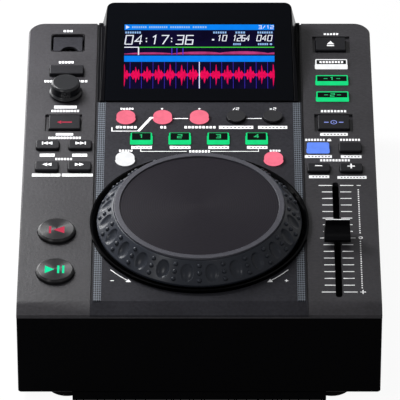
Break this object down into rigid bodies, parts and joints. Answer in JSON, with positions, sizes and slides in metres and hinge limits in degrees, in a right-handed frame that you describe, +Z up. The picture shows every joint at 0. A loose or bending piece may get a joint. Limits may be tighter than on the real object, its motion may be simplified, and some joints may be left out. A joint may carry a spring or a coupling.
{
  "type": "tabletop media player",
  "caption": "Tabletop media player for disc jockeys: big jog wheel, tilted screen, lit keys, pitch fader, cue and play keys, browse dial and a flap over a memory stick socket.",
  "frame": {"origin": "middle of the bounding box's footprint, on the table", "axes": "+X to the user's right, +Y from the user to the sockets at the rear, +Z up"},
  "size_m": [0.217, 0.2964, 0.1039],
  "materials": {
    "case_black": "fine satin black",
    "panel_grey": "satin paint-like dark grey, lighter than the middle deck",
    "deck_grey": "satin dark grey",
    "strip_silver": "pale blue grey with a fine woven pattern",
    "gloss_black": "polished black",
    "screen_glass": "polished, tinted",
    "screen_panel": "lit colour screen",
    "jog_black": "semi-gloss black with moulded grip",
    "jog_rim_grey": "satin grey ring",
    "jog_disc": "dark, fine spun lines",
    "steel": "plain steel",
    "inner_black": "plain black",
    "key_black": "satin black cap with a lit mark",
    "round_key": "satin black cap with a lit ring",
    "dome_metal": "spun dark metal face with a bright bevelled edge",
    "knob_black": "satin black",
    "fader_black": "black with a white line over the crest",
    "board_green": "solder mask",
    "socket_metal": "plated sockets in black blocks",
    "rubber_black": "plain"
  },
  "bodies": {
    "chassis": {"bottom_case": "case_black", "top_housing": "panel_grey", "centre_deck": "deck_grey", "accent_strips": "strip_silver", "display_housing": "gloss_black", "display_glass": "screen_glass", "display_module": "screen_panel", "jog_collar": "gloss_black", "jog_base": "inner_black", "jog_bearing": "inner_black", "feet": "rubber_black", "circuit_boards": "board_green", "tact_switches": "inner_black", "fader_body": "steel", "encoder_body": "inner_black", "usb_well": "inner_black", "usb_host_port": "steel", "rear_plate": "case_black", "rear_sockets": "socket_metal", "power_switch_frame": "inner_black", "case_screws": "steel"},
    "jog_wheel": {"jog_ring": "jog_black", "jog_rim": "jog_rim_grey", "jog_touch_plate": "jog_disc", "jog_spindle": "steel"},
    "encoder_push": {"encoder_plunger": "inner_black"},
    "browse_dial": {"browse_knob": "knob_black", "encoder_shaft": "steel"},
    "pitch_fader": {"fader_cap": "fader_black", "fader_stem": "steel"},
    "power_switch": {"power_rocker": "inner_black"},
    "usb_flap": {"usb_door": "panel_grey"},
    "back_key": {"back_button": "key_black"},
    "reverse_key": {"reverse_button": "key_black"},
    "track_back_key": {"track_back_button": "key_black"},
    "track_forward_key": {"track_forward_button": "key_black"},
    "search_back_key": {"search_back_button": "key_black"},
    "search_forward_key": {"search_forward_button": "key_black"},
    "eject_key": {"eject_button": "key_black"},
    "settings_key": {"settings_button": "key_black"},
    "source_1_key": {"source_1_button": "key_black"},
    "source_2_key": {"source_2_button": "key_black"},
    "jog_mode_key": {"jog_mode_button": "key_black"},
    "key_lock_key": {"key_lock_button": "key_black"},
    "tap_key": {"tap_button": "key_black"},
    "bend_minus_key": {"bend_minus_button": "key_black"},
    "bend_plus_key": {"bend_plus_button": "key_black"},
    "hot_cue_1_key": {"hot_cue_1_button": "key_black"},
    "hot_cue_2_key": {"hot_cue_2_button": "key_black"},
    "hot_cue_3_key": {"hot_cue_3_button": "key_black"},
    "hot_cue_4_key": {"hot_cue_4_button": "key_black"},
    "loop_auto_key": {"loop_auto_button": "round_key"},
    "loop_in_key": {"loop_in_button": "round_key"},
    "loop_out_key": {"loop_out_button": "round_key"},
    "loop_half_key": {"loop_half_button": "round_key"},
    "loop_double_key": {"loop_double_button": "round_key"},
    "shift_key": {"shift_button": "round_key"},
    "slip_key": {"slip_button": "round_key"},
    "cue_key": {"cue_button": "dome_metal"},
    "play_key": {"play_button": "dome_metal"}
  },
  "joints": [
    {"name": "jog_turn", "type": "hinge", "parent": "chassis", "child": "jog_wheel", "pos_m": [0, -0.06609, 0.07258], "axis": [0, -0.0698, 0.9976], "continuous": true},
    {"name": "encoder_press", "type": "slide", "parent": "chassis", "child": "encoder_push", "axis": [0, 0.0698, -0.9976], "range_m": [0, 0.0004], "stiffness_N_per_m": 1500, "springref_m": -0.0006},
    {"name": "browse_turn", "type": "hinge", "parent": "encoder_push", "child": "browse_dial", "pos_m": [-0.0836, 0.06529, 0.08177], "axis": [0, -0.0698, 0.9976], "continuous": true},
    {"name": "pitch_slide", "type": "slide", "parent": "chassis", "child": "pitch_fader", "axis": [0, 0.9976, 0.0698], "range_m": [-0.05, 0.05]},
    {"name": "power_rock", "type": "hinge", "parent": "chassis", "child": "power_switch", "pos_m": [0.056, 0.13701, 0.038], "axis": [0, 0, 1], "range_deg": [0, 16]},
    {"name": "usb_flap_turn", "type": "hinge", "parent": "chassis", "child": "usb_flap", "pos_m": [-0.0834, 0.12495, 0.08373], "axis": [-1, 0, 0], "range_deg": [0, 95]},
    {"name": "back_press", "type": "slide", "parent": "chassis", "child": "back_key", "axis": [0, 0.0698, -0.9976], "range_m": [0, 0.001], "stiffness_N_per_m": 400, "springref_m": -0.001},
    {"name": "reverse_press", "type": "slide", "parent": "chassis", "child": "reverse_key", "axis": [0, 0.0698, -0.9976], "range_m": [0, 0.001], "stiffness_N_per_m": 400, "springref_m": -0.001},
    {"name": "track_back_press", "type": "slide", "parent": "chassis", "child": "track_back_key", "axis": [0, 0.0698, -0.9976], "range_m": [0, 0.001], "stiffness_N_per_m": 400, "springref_m": -0.001},
    {"name": "track_forward_press", "type": "slide", "parent": "chassis", "child": "track_forward_key", "axis": [0, 0.0698, -0.9976], "range_m": [0, 0.001], "stiffness_N_per_m": 400, "springref_m": -0.001},
    {"name": "search_back_press", "type": "slide", "parent": "chassis", "child": "search_back_key", "axis": [0, 0.0698, -0.9976], "range_m": [0, 0.001], "stiffness_N_per_m": 400, "springref_m": -0.001},
    {"name": "search_forward_press", "type": "slide", "parent": "chassis", "child": "search_forward_key", "axis": [0, 0.0698, -0.9976], "range_m": [0, 0.001], "stiffness_N_per_m": 400, "springref_m": -0.001},
    {"name": "eject_press", "type": "slide", "parent": "chassis", "child": "eject_key", "axis": [0, 0.0698, -0.9976], "range_m": [0, 0.001], "stiffness_N_per_m": 400, "springref_m": -0.001},
    {"name": "settings_press", "type": "slide", "parent": "chassis", "child": "settings_key", "axis": [0, 0.0698, -0.9976], "range_m": [0, 0.001], "stiffness_N_per_m": 400, "springref_m": -0.001},
    {"name": "source_1_press", "type": "slide", "parent": "chassis", "child": "source_1_key", "axis": [0, 0.0698, -0.9976], "range_m": [0, 0.001], "stiffness_N_per_m": 400, "springref_m": -0.001},
    {"name": "source_2_press", "type": "slide", "parent": "chassis", "child": "source_2_key", "axis": [0, 0.0698, -0.9976], "range_m": [0, 0.001], "stiffness_N_per_m": 400, "springref_m": -0.001},
    {"name": "jog_mode_press", "type": "slide", "parent": "chassis", "child": "jog_mode_key", "axis": [0, 0.0698, -0.9976], "range_m": [0, 0.001], "stiffness_N_per_m": 400, "springref_m": -0.001},
    {"name": "key_lock_press", "type": "slide", "parent": "chassis", "child": "key_lock_key", "axis": [0, 0.0698, -0.9976], "range_m": [0, 0.001], "stiffness_N_per_m": 400, "springref_m": -0.001},
    {"name": "tap_press", "type": "slide", "parent": "chassis", "child": "tap_key", "axis": [0, 0.0698, -0.9976], "range_m": [0, 0.001], "stiffness_N_per_m": 400, "springref_m": -0.001},
    {"name": "bend_minus_press", "type": "slide", "parent": "chassis", "child": "bend_minus_key", "axis": [0, 0.0698, -0.9976], "range_m": [0, 0.001], "stiffness_N_per_m": 400, "springref_m": -0.001},
    {"name": "bend_plus_press", "type": "slide", "parent": "chassis", "child": "bend_plus_key", "axis": [0, 0.0698, -0.9976], "range_m": [0, 0.001], "stiffness_N_per_m": 400, "springref_m": -0.001},
    {"name": "hot_cue_1_press", "type": "slide", "parent": "chassis", "child": "hot_cue_1_key", "axis": [0, 0.0698, -0.9976], "range_m": [0, 0.001], "stiffness_N_per_m": 400, "springref_m": -0.001},
    {"name": "hot_cue_2_press", "type": "slide", "parent": "chassis", "child": "hot_cue_2_key", "axis": [0, 0.0698, -0.9976], "range_m": [0, 0.001], "stiffness_N_per_m": 400, "springref_m": -0.001},
    {"name": "hot_cue_3_press", "type": "slide", "parent": "chassis", "child": "hot_cue_3_key", "axis": [0, 0.0698, -0.9976], "range_m": [0, 0.001], "stiffness_N_per_m": 400, "springref_m": -0.001},
    {"name": "hot_cue_4_press", "type": "slide", "parent": "chassis", "child": "hot_cue_4_key", "axis": [0, 0.0698, -0.9976], "range_m": [0, 0.001], "stiffness_N_per_m": 400, "springref_m": -0.001},
    {"name": "loop_auto_press", "type": "slide", "parent": "chassis", "child": "loop_auto_key", "axis": [0, 0.0698, -0.9976], "range_m": [0, 0.001], "stiffness_N_per_m": 400, "springref_m": -0.001},
    {"name": "loop_in_press", "type": "slide", "parent": "chassis", "child": "loop_in_key", "axis": [0, 0.0698, -0.9976], "range_m": [0, 0.001], "stiffness_N_per_m": 400, "springref_m": -0.001},
    {"name": "loop_out_press", "type": "slide", "parent": "chassis", "child": "loop_out_key", "axis": [0, 0.0698, -0.9976], "range_m": [0, 0.001], "stiffness_N_per_m": 400, "springref_m": -0.001},
    {"name": "loop_half_press", "type": "slide", "parent": "chassis", "child": "loop_half_key", "axis": [0, 0.0698, -0.9976], "range_m": [0, 0.001], "stiffness_N_per_m": 400, "springref_m": -0.001},
    {"name": "loop_double_press", "type": "slide", "parent": "chassis", "child": "loop_double_key", "axis": [0, 0.0698, -0.9976], "range_m": [0, 0.001], "stiffness_N_per_m": 400, "springref_m": -0.001},
    {"name": "shift_press", "type": "slide", "parent": "chassis", "child": "shift_key", "axis": [0, 0.0698, -0.9976], "range_m": [0, 0.001], "stiffness_N_per_m": 400, "springref_m": -0.001},
    {"name": "slip_press", "type": "slide", "parent": "chassis", "child": "slip_key", "axis": [0, 0.0698, -0.9976], "range_m": [0, 0.001], "stiffness_N_per_m": 400, "springref_m": -0.001},
    {"name": "cue_press", "type": "slide", "parent": "chassis", "child": "cue_key", "axis": [0, 0.0698, -0.9976], "range_m": [0, 0.0015], "stiffness_N_per_m": 400, "springref_m": -0.001},
    {"name": "play_press", "type": "slide", "parent": "chassis", "child": "play_key", "axis": [0, 0.0698, -0.9976], "range_m": [0, 0.0015], "stiffness_N_per_m": 400, "springref_m": -0.001}
  ]
}
